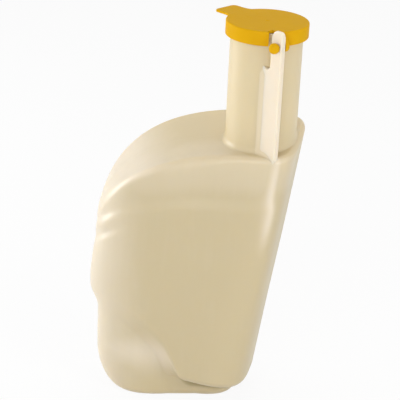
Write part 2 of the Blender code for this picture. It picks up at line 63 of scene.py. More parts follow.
# %% Helpers that make a mesh
def add_piece(name, points, faces):
    """A smooth-shaded mesh object at the origin, from points and faces."""
    mesh = bpy.data.meshes.new(name)
    mesh.from_pydata(points, [], faces)
    mesh.update()
    mesh.shade_smooth()
    piece = bpy.data.objects.new(name, mesh)
    scene.collection.objects.link(piece)
    print(name, "has", len(points), "points and", len(faces), "faces")
    return piece


def band_faces(rows, columns, first=0):
    """Quads between neighbouring rows: a point, the next in its row, and the two above them."""
    ring = np.arange(columns)
    start = first + np.arange(rows - 1)[:, None] * columns
    here, after = start + ring, start + np.roll(ring, -1)
    return np.stack([here, after, after + columns, here + columns], -1).reshape(-1, 4).tolist()


def closed_skin(name, rows, start, end):
    """Rows of points, each once round, with a fan of triangles to one point at each end."""
    count, columns = rows.shape[:2]
    ring = np.arange(columns)
    after = np.roll(ring, -1)
    total = count * columns
    top = total - columns
    start_fan = np.stack([after, ring, np.full(columns, total)], 1).tolist()
    end_fan = np.stack([top + ring, top + after, np.full(columns, total + 1)], 1).tolist()
    points = np.concatenate([rows.reshape(-1, 3), [start], [end]])
    return add_piece(name, points, band_faces(count, columns) + start_fan + end_fan)


# %% [markdown]
# ## The belly and the foot
# The body is a soft block with a flat back. Its front is terraced: a foot, a big belly that overhangs it
# with a swept lower lip, a crease, and a set-back roll above. Subdivision modelling would do, but the
# terraces follow curves across the front, so each is a height over X, and the wall steps at that height.
# The plan is a superellipse: an ellipse whose power sets how square its corners are.

# %% Sizes of the body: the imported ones, but for a finer lip, crease, roof edge and neck fillet
WALL = 1.5 * MM
BELLY_LEFT, BELLY_RIGHT, BELLY_FRONT, BACK = 56.2 * MM, 76.8 * MM, 34.0 * MM, 33.1 * MM
BELLY_MIDDLE, RIGHT_SLOPE, ACROSS_POWER = 8.3 * MM, 0.137, 0.6
BELLY_SWELL, SWELL_HEIGHT, SWELL_SPREAD = 5.8 * MM, 80.3 * MM, 29.4 * MM
BACK_FLARE, FLARE_START, FLARE_RUN = 6.4 * MM, 86.0 * MM, 55.0 * MM
ROUND_LEFT, ROUND_RIGHT_LOW, ROUND_RIGHT_HIGH = 3.0, 3.4, 5.8
SQUARE_START, SQUARE_RUN = 58.0 * MM, 83.0 * MM
FOOT_LEFT, FOOT_RIGHT, FOOT_MIDDLE = 56.0 * MM, 44.0 * MM, -2.8 * MM
FOOT_FRONT, FOOT_FRONT_SLOPE, ROUND_FOOT = 25.5 * MM, 0.16, 2.9
FOOT_ROUND, FOOT_INSET = 10.0 * MM, 9.0 * MM
FOOT_ROUND_FRONT, FOOT_INSET_FRONT = 6.0 * MM, 4.0 * MM
FOOT_ROUND_LEFT, FOOT_INSET_LEFT = 30.0 * MM, 20.0 * MM
LIP_LOW, LIP_RISE, LIP_START, LIP_RUN = 18.1 * MM, 49.0 * MM, 18.0 * MM, 62.0 * MM
LIP_BEND, LIP_EASE, LIP_FALL, LIP_ROUND = 1.6, 0.35, 0.09, 6.5 * MM
LIP_SHARP, LIP_SOFT, LIP_SOFT_START, LIP_SOFT_RUN = 1.6 * MM, 16.5 * MM, 19.0 * MM, 22.0 * MM
CREASE_LOW, CREASE_RISE, CREASE_DEPTH, CREASE_WIDTH = 117.5 * MM, 41.0 * MM, 1.7 * MM, 4.1 * MM
CREASE_MIDDLE, CREASE_FADE, RELIEF_FADE = 0.1, 3, 1.6
ROLL_SETBACK, ROLL_BLEND = 2.3 * MM, 13.0 * MM
LOBE_DEPTH, LOBE_WIDTH, LOBE_DROP = 1.8 * MM, 3.6 * MM, 13.0 * MM
LOBE_START, LOBE_RUN = -28.0 * MM, 18.0 * MM
CORNER_RIB, CORNER_RIB_ANGLE, CORNER_RIB_SPREAD = 0.9 * MM, 1.75 * math.pi, 0.16
CORNER_RIB_START, CORNER_RIB_RUN = 118.0 * MM, 55.0 * MM
ARCH_RIGHT, ARCH_RUN, ARCH_FULLNESS = 64.4 * MM, 121.0 * MM, 2.1
ROOF_LOW, ROOF_RISE, ROOF_TILT, ROOF_TILT_BEND = 117.0 * MM, 73.0 * MM, 11.8 * MM, 1.5
ROOF_EDGE, ROOF_EDGE_FRONT, ROOF_EDGE_START, ROOF_EDGE_RUN = 4.0 * MM, 7.5 * MM, 45.0 * MM, 30.0 * MM
NECK_X, NECK_RADIUS, NECK_FOOT, NECK_LENGTH = 50.6 * MM, 23.3 * MM, 189.8 * MM, 80.0 * MM
NECK_FLARE, NECK_FLARE_RIGHT, NECK_FLARE_HEIGHT = 2.4 * MM, 1.2 * MM, 4.5 * MM
BEAD, BEAD_DROP, BEAD_HEIGHT = 0.8 * MM, 4.2 * MM, 1.7 * MM
RIM = NECK_FOOT + NECK_LENGTH
print("rim of the neck at", round(RIM / MM, 1), "mm")


# %% Curves that the terraces follow
def smoothstep(value):
    """0 below 0, 1 above 1, and an even S between."""
    t = np.clip(value, 0.0, 1.0)
    return t * t * (3.0 - 2.0 * t)


def signed_power(value, power):
    """The size of a number raised to a power, with its sign kept."""
    return np.sign(value) * np.abs(value) ** power


def bell(value):
    """1 at 0, falling off to both sides as e to the minus square."""
    return np.exp(-(value**2))


def across(angle):
    """X of a column on a plain section: the middle plus the left reach times a power of the cosine."""
    return BELLY_MIDDLE + (BELLY_LEFT + BELLY_MIDDLE) * signed_power(np.cos(angle), ACROSS_POWER)


def arch(x, low, rise, run):
    """A full quarter ellipse in X that climbs from the left side and levels out at the right."""
    part = np.clip((ARCH_RIGHT - x) / run, 0.0, 1.0)
    return low + rise * (1.0 - part**ARCH_FULLNESS) ** (1.0 / ARCH_FULLNESS)


def crease_height(x):
    """The crease is one such arch, under the roof."""
    return arch(x, CREASE_LOW, CREASE_RISE, ARCH_RUN)


def roof_height(x, y, wall):
    """The vault over the belly: an arch that also rises towards the back by a power of the depth."""
    backward = np.clip((y + BELLY_FRONT) / (BELLY_FRONT + BACK), 0.0, 1.0)
    run = ARCH_RUN + BACK_FLARE * backward - wall
    return arch(x, ROOF_LOW - wall, ROOF_RISE, run) + ROOF_TILT * backward**ROOF_TILT_BEND


def lip_height(x):
    """Lower edge of the belly: high at the left, falling in one bend and then nearly level."""
    fall = np.clip((LIP_START - x) / LIP_RUN, 0.0, 1.0)
    rise = LIP_RISE * (1.0 - (1.0 - fall) ** LIP_BEND) * smoothstep(fall / LIP_EASE)
    return LIP_LOW + rise - LIP_FALL * np.maximum(x - LIP_START, 0.0)


def softness(x):
    """0 at the right, where the lower edge is a crisp lip, and 1 at the left, where it is a roll."""
    return smoothstep((LIP_SOFT_START - x) / LIP_SOFT_RUN)


def lip_width(x):
    """Height that the step under the belly takes: narrow at the lip and wide at the roll."""
    return LIP_SHARP + (LIP_SOFT - LIP_SHARP) * softness(x)


def quarter(height, round_height, inset):
    """How far a rounded edge is drawn in at a height over its end: a quarter ellipse."""
    low = np.clip(1.0 - height / round_height, 0.0, 1.0)
    return inset * (1.0 - np.sqrt(1.0 - low**2))


for place in (-50.0, 0.0, 50.0):
    heights = [round(float(curve(place * MM)) / MM, 1) for curve in (lip_height, crease_height)]
    print("at X", place, "mm the lip is at", heights[0], "mm and the crease at", heights[1], "mm")


# %% [markdown]
# ## The wall from the foot to the shoulder
# On the real bottle one sheet of plastic runs from the foot over the lip and the crease to the shoulder.
# The wall is the plan of the foot, blended into the plan of the belly by a smooth step at the lip's height.
# Two grooves and a setback are then taken off the front, and a slim rib is left down the right-hand corner.
# The same formulas with a wall thickness draw the inside, so the two skins stay an even distance apart.

# %% Sections and the wall
def section(angle, left, right, front, back, middle, power):
    """Superellipse with its own reach on each side: reach times cosine or sine to the power 2 / power."""
    c, s = np.cos(angle), np.sin(angle)
    x = middle + np.where(c < 0.0, left + middle, right - middle) * signed_power(c, 2.0 / power)
    y = np.where(s < 0.0, front, back) * signed_power(s, 2.0 / power)
    return x, y


def foot_section(angle, z, wall):
    """The foot's plan, drawn in by quarter ellipses towards its flat bottom, most of all at the left."""
    left = FOOT_LEFT - wall - quarter(z - wall, FOOT_ROUND_LEFT, FOOT_INSET_LEFT)
    inset = wall + quarter(z - wall, FOOT_ROUND, FOOT_INSET)
    front = FOOT_FRONT - FOOT_FRONT_SLOPE * np.clip(across(angle), -FOOT_LEFT, FOOT_RIGHT)
    front = front - wall - quarter(z - wall, FOOT_ROUND_FRONT, FOOT_INSET_FRONT)
    return section(angle, left, FOOT_RIGHT - inset, front, BACK - inset, FOOT_MIDDLE, ROUND_FOOT)


def belly_section(angle, z, wall):
    """The belly's plan: a bell-curve swell at the left, a slope at the right and a flare at the back."""
    swell = BELLY_SWELL * bell((z - SWELL_HEIGHT) / SWELL_SPREAD)
    right = BELLY_RIGHT - RIGHT_SLOPE * (NECK_FOOT - z)
    high = smoothstep((z - SQUARE_START) / SQUARE_RUN)
    square = ROUND_RIGHT_LOW + (ROUND_RIGHT_HIGH - ROUND_RIGHT_LOW) * high
    power = np.where(np.cos(angle) < 0.0, ROUND_LEFT, square)
    over = z - wall - lip_height(across(angle))
    inset = wall + quarter(over, LIP_ROUND, LIP_ROUND) * (1.0 - softness(across(angle)))
    left = BELLY_LEFT + swell - wall
    x, y = section(angle, left, right - inset, BELLY_FRONT - inset, BACK - wall, BELLY_MIDDLE, power)
    leftward = np.clip(-np.cos(angle), 0.0, 1.0)
    depth = smoothstep((y + BELLY_FRONT) / (BELLY_FRONT + BACK))
    return x - BACK_FLARE * smoothstep((z - FLARE_START) / FLARE_RUN) * depth * leftward, y


def at_corner(angle):
    """1 at the right-hand front corner, falling off to both sides in a bell curve."""
    return bell((angle - CORNER_RIB_ANGLE) / CORNER_RIB_SPREAD)


def relief(angle, z):
    """What the front loses: bell-curve grooves and a step above the crease, less the corner's rib."""
    x = across(angle)
    over = z - crease_height(x)
    front = np.clip(-RELIEF_FADE * np.sin(angle), 0.0, 1.0)
    side = CREASE_MIDDLE + (1.0 - CREASE_MIDDLE) * np.clip(-np.cos(angle), 0.0, 1.0) ** CREASE_FADE
    groove = CREASE_DEPTH * side * bell(over / CREASE_WIDTH)
    lobe = bell((over + LOBE_DROP) / LOBE_WIDTH) * smoothstep((LOBE_START - x) / LOBE_RUN)
    setback = ROLL_SETBACK * smoothstep(over / ROLL_BLEND + 0.5)
    rib = CORNER_RIB * at_corner(angle) * smoothstep((z - CORNER_RIB_START) / CORNER_RIB_RUN)
    return (groove + LOBE_DEPTH * lobe + setback) * front - rib


def wall_points(angle, z, wall):
    """The foot's plan, a smooth step of the way to the belly's, shrunk to the middle by the relief."""
    foot_x, foot_y = foot_section(angle, z, wall)
    belly_x, belly_y = belly_section(angle, z, wall)
    over = z - wall - lip_height(across(angle))
    step = smoothstep(over / lip_width(across(angle)) + 0.5)
    x = foot_x + (belly_x - foot_x) * step
    y = foot_y + (belly_y - foot_y) * step
    shrink = 1.0 - relief(angle, z) / np.hypot(x - BELLY_MIDDLE, y)
    return np.stack([BELLY_MIDDLE + (x - BELLY_MIDDLE) * shrink, y * shrink, z], -1)


# %% Where the rows and columns run
SPACING_SAMPLES, SPACING_POWER, SPACING_SHARE, RIDGE_ROUNDS = 4001, 0.5, 0.6, 6
WALL_ROWS = (7, 4, 7, 5, 10, 9, 6)
WALL_CROWDS = (1.8, 1.0, 1.0, 1.0, 1.0, 1.0, 1.0)


def column_angles(count):
    """Angles shared out by the length of the belly's edge and, less, by the turn about the neck."""
    fine = np.linspace(0.0, 2.0 * math.pi, SPACING_SAMPLES)
    x = BELLY_MIDDLE + signed_power(np.cos(fine), SPACING_POWER) * (BELLY_RIGHT - BELLY_MIDDLE)
    y = signed_power(np.sin(fine), SPACING_POWER) * BELLY_FRONT
    along = np.concatenate([[0.0], np.cumsum(np.hypot(np.diff(x), np.diff(y)))])
    turned_by = np.unwrap(np.arctan2(y, x - NECK_X))
    share = SPACING_SHARE * along / along[-1] + (1.0 - SPACING_SHARE) * turned_by / turned_by[-1]
    return np.interp(np.arange(count) / count, share, fine)


def roof_edge(x, y):
    """Radius of the roof's edge: small at the back and the right, larger towards the front and the left."""
    front = smoothstep(-y / BELLY_FRONT) * smoothstep((ROOF_EDGE_START - x) / ROOF_EDGE_RUN)
    return ROOF_EDGE + (ROOF_EDGE_FRONT - ROOF_EDGE) * front


def ridge_height(angle, wall):
    """Height where the wall ends: the roof over the wall's own top, less the roof's rounded edge."""
    z = np.full_like(angle, ROOF_LOW)
    for _ in range(RIDGE_ROUNDS):
        x, y = belly_section(angle, z, wall)
        z = roof_height(x, y, wall) - roof_edge(x, y)
    return z


def wall_heights(angle, wall, fine):
    """Rows of heights in bands from one curve up to the next, with a power that packs the lowest ones."""
    x = across(angle)
    ridge = ridge_height(angle, wall)
    lip, half = lip_height(x) + wall, lip_width(x) / 2.0
    crease = np.minimum(crease_height(x), ridge - CREASE_WIDTH)
    floor = np.full_like(angle, wall)
    levels = [floor, np.minimum(floor + FOOT_ROUND, lip - half), lip - half, lip + half]
    levels += [lip + half + LIP_ROUND, crease - 2.0 * CREASE_WIDTH, crease + CREASE_WIDTH, ridge]
    bands = []
    for low, high, count, crowd in zip(levels, levels[1:], WALL_ROWS, WALL_CROWDS):
        part = (np.arange(count * fine) / (count * fine)) ** crowd
        bands.append(low + (high - low) * part[:, None])
    return np.concatenate([*bands, ridge[None]])


# %% [markdown]
# ## The shoulder, the neck and the closed shell
# Over the wall lies a vault that rises to the foot of the neck, and the neck is a tube with a snap bead.
# A real blow mould makes all of it in one go, so here it is one surface too: up the outside, over the rim
# and down the inside, with a point at the middle of each floor. A Solidify modifier would give a wall too,
# but it can fold over itself at a sharp lip, so the inside gets its own rows.

# %% Shoulder and neck
SHOULDER_ROWS, SHOULDER_CROWD = 14, 1.6
FILLET_ROWS, TUBE_ROWS, TUBE_START, BEAD_ROWS = 6, 3, 0.1, 8


def neck_ring(turn, radius, z):
    """Points at a radius and a height about the neck's axis."""
    x, y, z = np.broadcast_arrays(NECK_X + radius * np.cos(turn), radius * np.sin(turn), z)
    return np.stack([x, y, z], -1)


def flare_at(turn):
    """Width of the fillet at the neck's foot: narrow at the right, where neck and side are flush."""
    rightward = np.clip(np.cos(turn), 0.0, 1.0) ** 2
    return NECK_FLARE + (NECK_FLARE_RIGHT - NECK_FLARE) * rightward


def shoulder_points(edge, turn, wall, count):
    """Straight lines in plan from the wall's top to the neck's foot, laid on the roof with a round edge."""
    foot = neck_ring(turn, NECK_RADIUS - wall + flare_at(turn), NECK_FOOT)
    span = foot[:, :2] - edge[:, :2]
    radius = roof_edge(edge[:, 0], edge[:, 1])
    level = roof_height(edge[:, 0], edge[:, 1], wall) - radius
    v = (np.arange(1, count + 1) / count)[:, None]
    share = v**SHOULDER_CROWD
    x, y = edge[:, 0] + span[:, 0] * share, edge[:, 1] + span[:, 1] * share
    drop = quarter(np.hypot(span[:, 0], span[:, 1]) * share, radius, radius)
    z = roof_height(x, y, wall) - drop + (edge[:, 2] - level) * (1.0 - v) ** 2
    return np.stack([x, y, z], -1)


def neck_points(turn, foot, wall, fine):
    """A quarter-ellipse fillet, then the straight tube; outside it swells into a bead under the rim."""
    radius = NECK_RADIUS - wall
    bend = np.radians(np.linspace(0.0, 90.0, FILLET_ROWS * fine + 1)[1:])[:, None]
    flared = radius + flare_at(turn) * (1.0 - np.sin(bend))
    fillet = neck_ring(turn, flared, foot + NECK_FLARE_HEIGHT * (1.0 - np.cos(bend)))
    top = RIM - WALL / 2.0
    rise = np.linspace(TUBE_START, 1.0, TUBE_ROWS * fine)[:, None]
    tube_top = top if wall else RIM - BEAD_DROP - BEAD_HEIGHT
    tube = neck_ring(turn, radius, fillet[-1, :, 2] + (tube_top - fillet[-1, :, 2]) * rise)
    if wall:
        return np.concatenate([fillet, tube])
    swing = np.linspace(-1.0, 1.0, BEAD_ROWS * fine + 1)[1:, None]
    bulge = BEAD * 0.5 * (1.0 + np.cos(math.pi * swing))
    bead = neck_ring(turn, radius + bulge, RIM - BEAD_DROP + BEAD_HEIGHT * swing)
    return np.concatenate([fillet, tube, bead, neck_ring(turn, radius, top)[None]])


def skin_points(columns, wall, fine):
    """All rows of one skin, from the edge of its floor to just under the rim."""
    angle = column_angles(columns)
    side = wall_points(angle, wall_heights(angle, wall, fine), wall)
    turn = np.arctan2(side[-1, :, 1], side[-1, :, 0] - NECK_X)
    shoulder = shoulder_points(side[-1], turn, wall, SHOULDER_ROWS * fine)
    return np.concatenate([side, shoulder, neck_points(turn, shoulder[-1, :, 2], wall, fine)])


# %% Close the shell over the rim and build it
COLUMNS, RIM_STEPS, FLOOR_SHARES = 256, 9, (0.4, 0.8, 0.97)


def floor_rows(edge, centre, shares):
    """Rows inside a floor's edge, at shares of the way from its centre."""
    return centre + (edge - centre) * np.array(shares)[:, None, None]


outside = skin_points(COLUMNS, 0.0, 2)
inside = skin_points(COLUMNS, WALL, 1)[::-1]
turn = np.arctan2(outside[-1, :, 1], outside[-1, :, 0] - NECK_X)
inside_turn = np.arctan2(inside[0, :, 1], inside[0, :, 0] - NECK_X)
over_rim = np.linspace(0.0, math.pi, RIM_STEPS)[1:-1, None]
middle_turn = turn + (np.unwrap(inside_turn) - np.unwrap(turn)) * over_rim / math.pi
rim = neck_ring(
    middle_turn,
    NECK_RADIUS - WALL / 2.0 + WALL / 2.0 * np.cos(over_rim),
    RIM - WALL / 2.0 + WALL / 2.0 * np.sin(over_rim),
)
sole = np.array([FOOT_MIDDLE, 0.0, 0.0])
floor = np.array([FOOT_MIDDLE, 0.0, WALL])
rows = np.concatenate([
    floor_rows(outside[0], sole, FLOOR_SHARES),
    outside,
    rim,
    inside,
    floor_rows(inside[-1], floor, FLOOR_SHARES[::-1]),
])
bottle_shell = closed_skin("bottle_shell", rows, sole, floor)

# %% [markdown]
# ## Painted light and painted shade
# Light and shade are partly painted into the wall's colour: painted light makes it paler at the left side
# and on the roof, for the white light and reflection there, and on the drawn-in foot where it faces up; the
# tone is also paler on the corner's rib and the roll, and painted shade lays a thin dark line in the nook
# under the lip.
# A painted mask could carry that, but formulas over the same curves stay in step with the shape, so two
# numbers are written on each point for the finish to read. Rows that meet in one place are merged last.

# %% Painted light and shade, marked on the shell
# Strengths and spreads of the painted light at the left side, on the foot and on the roof, of the paler
# tone on the rib and the roll, and of the painted shade in the nook.
SIDE_PALE, SIDE_START, SIDE_RUN = 0.9, -10.0 * MM, 50.0 * MM
FOOT_PALE, FOOT_PALE_HEIGHT, FOOT_PALE_SPREAD, FOOT_PALE_FADE = 0.8, 34.0 * MM, 13.0 * MM, 6.0 * MM
RIB_PALE, RIB_PALE_RUN = 0.9, 0.5 * CORNER_RIB_RUN
ROOF_PALE, ROOF_PALE_RUN, NECK_CLEAR, NECK_CLEAR_RUN = 0.8, 8.0 * MM, 24.0 * MM, 22.0 * MM
ROLL_PALE, ROLL_PALE_RUN, FRONT_RUN = 0.3, 14.0 * MM, 14.0 * MM
NOOK_DEPTH, NOOK_RUN, NOOK_FADE = 10.8 * MM, 2.4 * MM, 1.0 * MM
SAME_POINT = 0.0002 * MM


def mark(piece, name, values):
    """Writes one number per point on a mesh, for its finish to read."""
    attribute = piece.data.attributes.new(name, "FLOAT", "POINT")
    attribute.data.foreach_set("value", np.concatenate([values.ravel(), [0.0, 0.0]]))


x, y, z = rows[..., 0], rows[..., 1], rows[..., 2]
angle = column_angles(COLUMNS)
over_lip = z - lip_height(x)
facing = smoothstep(-y / FRONT_RUN)
below_neck = z < NECK_FOOT
# Painted light: paler at the left side, on the foot where it faces up, and on the roof; a paler tone on the
# rib and the roll.
left_side = SIDE_PALE * smoothstep((SIDE_START - x) / SIDE_RUN)
foot_band = bell((z - FOOT_PALE_HEIGHT) / FOOT_PALE_SPREAD) * softness(x)
drawn_foot = FOOT_PALE * foot_band * (1.0 - smoothstep(over_lip / FOOT_PALE_FADE)) * facing
rib = RIB_PALE * at_corner(angle) * smoothstep((z - CORNER_RIB_START) / RIB_PALE_RUN) * below_neck
off_neck = 1.0 - smoothstep((z - NECK_FOOT + NECK_CLEAR) / NECK_CLEAR_RUN)
roof = ROOF_PALE * smoothstep((z - ridge_height(angle, 0.0)) / ROOF_PALE_RUN) * off_neck
roll = ROLL_PALE * smoothstep((z - crease_height(x)) / ROLL_PALE_RUN) * facing * below_neck
mark(bottle_shell, "pale", np.max([left_side, drawn_foot, rib, roof, roll], axis=0))
# Painted shade: a thin dark line on the foot just under the lip, where the belly's overhang shades it.
nook = smoothstep((over_lip + NOOK_DEPTH) / NOOK_RUN) * (1.0 - smoothstep(over_lip / NOOK_FADE))
mark(bottle_shell, "nook_shade", nook * (1.0 - softness(x)) * (y < 0.0))

shell_mesh = bmesh.new()
shell_mesh.from_mesh(bottle_shell.data)
bmesh.ops.remove_doubles(shell_mesh, verts=shell_mesh.verts[:], dist=SAME_POINT)
shell_mesh.to_mesh(bottle_shell.data)
shell_mesh.free()
print("bottle_shell has", len(bottle_shell.data.vertices), "points once rows that meet are merged")
reach = rows.reshape(-1, 3).max(0) - rows.reshape(-1, 3).min(0)
print("shell in mm:", np.round(reach / MM, 1))

# %% [markdown]
# ## Plates with a soft edge
# The hinge fin, the thumb tab and the hinge ear are flat plates. A curve could be extruded and bevelled,
# but the fin's root has to follow the round neck, so a plate is made here of rows again: an outline carried
# through the thickness, drawn in at both faces by a quarter circle. The faces are filled round any hole,
# and all of them are wound alike at the end.

# %% A plate from its outline
EDGE_STEPS, FLAT_RIM = 6, 1.3
CUT_SHARP, SKIN_SHARP = math.radians(35.0), math.radians(40.0)


def edge_rows(half, edge):
    """Pairs of inset and height through a plate: a flat rim, a quarter circle, the side, and back."""
    bend = np.linspace(0.0, math.pi / 2.0, EDGE_STEPS)
    inset = np.concatenate([[FLAT_RIM * edge], edge * (1.0 - np.sin(bend))])
    height = np.concatenate([[-half], -half + edge * (1.0 - np.cos(bend))])
    return np.concatenate([inset, inset[::-1]]), np.concatenate([height, -height[::-1]])


def circle(centre, radius, start, end, count):
    """Points on a circle from one angle to another, in degrees, as an array of pairs."""
    angle = np.radians(np.linspace(start, end, count))
    return np.stack([centre[0] + radius * np.cos(angle), centre[1] + radius * np.sin(angle)], 1)


def evenly(points, step):
    """The same line of points, shared out again at an even step along its length."""
    along = np.concatenate([[0.0], np.cumsum(np.hypot(*np.diff(points, axis=0).T))])
    marks = np.linspace(0.0, along[-1], int(along[-1] / step) + 1)
    return np.stack([np.interp(marks, along, points[:, 0]), np.interp(marks, along, points[:, 1])], 1)


def wind_alike(piece):
    """Winds every face like its neighbours, with the outside out."""
    mesh = bmesh.new()
    mesh.from_mesh(piece.data)
    bmesh.ops.recalc_face_normals(mesh, faces=mesh.faces[:])
    if mesh.calc_volume(signed=True) < 0.0:
        bmesh.ops.reverse_faces(mesh, faces=mesh.faces[:])
    mesh.to_mesh(piece.data)
    mesh.free()
    return piece


def plate(name, outline, inset, height, hole, place):
    """Outline rows moved inwards along their normals by the inset, with faces filled round a hole."""
    along = np.roll(outline, -1, axis=1) - np.roll(outline, 1, axis=1)
    along = along / np.linalg.norm(along, axis=2, keepdims=True)
    inward = np.stack([-along[..., 1], along[..., 0]], -1)
    flat = outline + inward * np.reshape(inset, (len(height), -1, 1))
    rows, columns = len(height), flat.shape[1]
    solid = np.concatenate([flat, np.broadcast_to(height[:, None, None], (rows, columns, 1))], -1)
    faces = band_faces(rows, columns)
    total = rows * columns
    ends = [np.zeros((0, 3)), np.zeros((0, 3))]
    if len(hole):
        ends = [np.column_stack([hole, np.full(len(hole), h)]) for h in (height[0], height[-1])]
        faces += band_faces(2, len(hole), total)
    for end, loop in enumerate((solid[0], solid[-1])):
        numbers = np.concatenate([
            (rows - 1) * columns * end + np.arange(columns),
            total + len(hole) * end + np.arange(len(hole)),
        ])
        lists = [[Vector((x, y)) for x, y, _ in ring] for ring in (loop, ends[end]) if len(ring)]
        faces += numbers[np.array(tessellate_polygon(lists))].tolist()
    points = np.concatenate([solid.reshape(-1, 3), *ends])
    origin, axes = place
    return wind_alike(add_piece(name, origin + points @ axes, faces))


def cut(piece, cutter):
    """Takes the cutter out of the piece, and keeps the edges that this leaves crisp."""
    step = piece.modifiers.new("gap", "BOOLEAN")
    step.operation = "DIFFERENCE"
    step.solver = "EXACT"
    step.object = cutter
    depsgraph = bpy.context.evaluated_depsgraph_get()
    piece.data = bpy.data.meshes.new_from_object(piece.evaluated_get(depsgraph))
    piece.modifiers.clear()
    piece.data.shade_smooth()
    piece.data.set_sharp_from_angle(angle=CUT_SHARP)
    bpy.data.objects.remove(cutter, do_unlink=True)


# %% [markdown]
# ## The hinge fin
# A flat fin is moulded on the front of the neck, and its top is a post that the lid's pin goes through.
# A slot parts the post from the neck, and the post's tip is rounded off on its far side.
# It is one plate whose root runs inside the neck's wall. A modeller would push its foot down by eye until
# no gap shows; here plumb lines are dropped on the shell, so that the foot follows the roof exactly.

# %% The frame of the hinge
HINGE_AZIMUTH = 56.0
POST_OFFSET, POST_THICKNESS, POST_INNER, POST_OUTER = 15.7 * MM, 4.2 * MM, 20.9 * MM, 29.6 * MM
POST_ABOVE_LID, POST_ROUND, POST_EDGE = 2.4 * MM, 6.0 * MM, 1.4 * MM
TIP_FALL, TIP_EDGE = 8.0 * MM, 0.3 * MM
SLOT_DEPTH, SLOT_WIDTH, SLOT_END = 15.6 * MM, 5.2 * MM, -150.0
HINGE_OUT, HINGE_LIFT, PIN_RADIUS, PIN_GAP = 26.2 * MM, 0.8 * MM, 2.1 * MM, 0.3 * MM
LID_RADIUS, LID_TOP, LID_SKIRT, LID_WALL, LID_EDGE = 26.6 * MM, 1.7 * MM, 9.2 * MM, 1.4 * MM, 0.9 * MM
SEAT_GAP, SWING_GAP = 0.3 * MM, 0.5 * MM
LID_UNDER = RIM + SEAT_GAP
LID_HEIGHT = LID_UNDER + LID_TOP
SKIRT_BOTTOM = LID_HEIGHT - LID_SKIRT
HINGE_HEIGHT = SKIRT_BOTTOM + HINGE_LIFT
SLOT_BOTTOM = HINGE_HEIGHT - SLOT_DEPTH
POST_TIP = LID_HEIGHT + POST_ABOVE_LID
POST_HALF = POST_THICKNESS / 2.0
UP = np.array([0.0, 0.0, 1.0])


def heading(azimuth):
    """Level direction at an azimuth in degrees, which is 0 to the front and 90 to the right."""
    return np.array([math.sin(math.radians(azimuth)), -math.cos(math.radians(azimuth)), 0.0])


OUTWARD = heading(HINGE_AZIMUTH)
ALONG_PIN = np.cross(OUTWARD, UP)


def on_hinge(aside, out, height):
    """A point given by its place in the fin's plane: along the pin, outwards and up."""
    return np.array([NECK_X, 0.0, height]) + OUTWARD * out + ALONG_PIN * aside


def hinge_place(out, aside, height):
    """Origin and axes of the fin's plane: outwards, up, and along the pin towards its ball."""
    return on_hinge(aside, out, height), np.stack([OUTWARD, UP, ALONG_PIN])


packed_point = frame["record"]["behaviour"]["joints"][0]["pos_m"]
miss = np.linalg.norm(on_hinge(POST_OFFSET, HINGE_OUT, HINGE_HEIGHT) - packed_point)
print("hinge is", round(float(miss) / MM, 3), "mm from the packed joint")


# %% The fin's outline
FIN_TAPER, FIN_BURIED, FIN_DRAWN, FIN_EDGE = 6.0 * MM, 20.0 * MM, 0.6, 0.9 * MM
FIN_FOOT_START, FIN_FOOT_END, FIN_FOOT_SUNK = 1.0 * MM, 4.6 * MM, 0.6 * WALL
SLOT_LIFT, ROOT_GAP, OUTLINE_STEP = 0.4 * MM, 0.2 * MM, 0.5 * MM
ROOT_COLUMNS, FIN_FOOT_COLUMNS, SLOT_STEPS, HOLE_STEPS = 60, 24, 27, 48
EDGE_FADE_IN, EDGE_FADE_OUT = 6.0, 8.0
shell_tree = BVHTree.FromObject(bottle_shell, bpy.context.evaluated_depsgraph_get())


def pin_hole(out, up):
    """An even ring of points round the pin, with the gap that it turns in."""
    return circle((out, up), PIN_RADIUS + PIN_GAP, 0.0, 360.0 - 360.0 / HOLE_STEPS, HOLE_STEPS)


def plumb(aside, out):
    """Heights where plumb lines from the level of the slot's bottom, under the bead, meet the shell."""
    starts = [Vector(on_hinge(a, o, SLOT_BOTTOM)) for a, o in zip(aside, out)]
    drops = [shell_tree.ray_cast(start, Vector((0.0, 0.0, -1.0))) for start in starts]
    return np.array([hit.z for hit, _, _, _ in drops])


def fin_outline(aside):
    """Down the root, out along the foot, up the outer edge, over the round tip and down into the slot."""
    slot_round = SLOT_WIDTH / 2.0
    slot_middle = POST_INNER - slot_round
    slot = SLOT_BOTTOM + slot_round
    free = evenly(np.concatenate([
        [[POST_OUTER - FIN_DRAWN * FIN_TAPER, NECK_FOOT - FIN_DRAWN * FIN_BURIED]],
        [[POST_OUTER, NECK_FOOT]],
        circle((POST_OUTER - POST_EDGE, POST_TIP - POST_EDGE), POST_EDGE, 0.0, 90.0, 7),
        circle((POST_INNER + POST_ROUND, POST_TIP - POST_ROUND), POST_ROUND, 90.0, 180.0, 25),
        [[POST_INNER, slot + SLOT_LIFT]],
    ]), OUTLINE_STEP)
    lines = []
    for each in aside:
        root_out = math.sqrt((NECK_RADIUS - WALL / 2.0) ** 2 - each**2)
        meets = max((root_out - slot_middle) / slot_round, math.cos(math.radians(SLOT_END)))
        bottom = circle((slot_middle, slot), slot_round, 0.0, -math.degrees(math.acos(meets)), SLOT_STEPS)
        foot_start = math.sqrt(NECK_RADIUS**2 - each**2) + FIN_FOOT_START
        out = np.linspace(foot_start, POST_OUTER - FIN_FOOT_END, FIN_FOOT_COLUMNS)
        foot = np.stack([out, plumb(np.full_like(out, each), out) - FIN_FOOT_SUNK], 1)
        down = np.linspace(bottom[-1, 1] - ROOT_GAP, foot[0, 1], ROOT_COLUMNS)
        root = np.stack([np.full_like(down, root_out), down], 1)
        lines.append(np.concatenate([root, foot, free, bottom]))
    return np.array(lines)


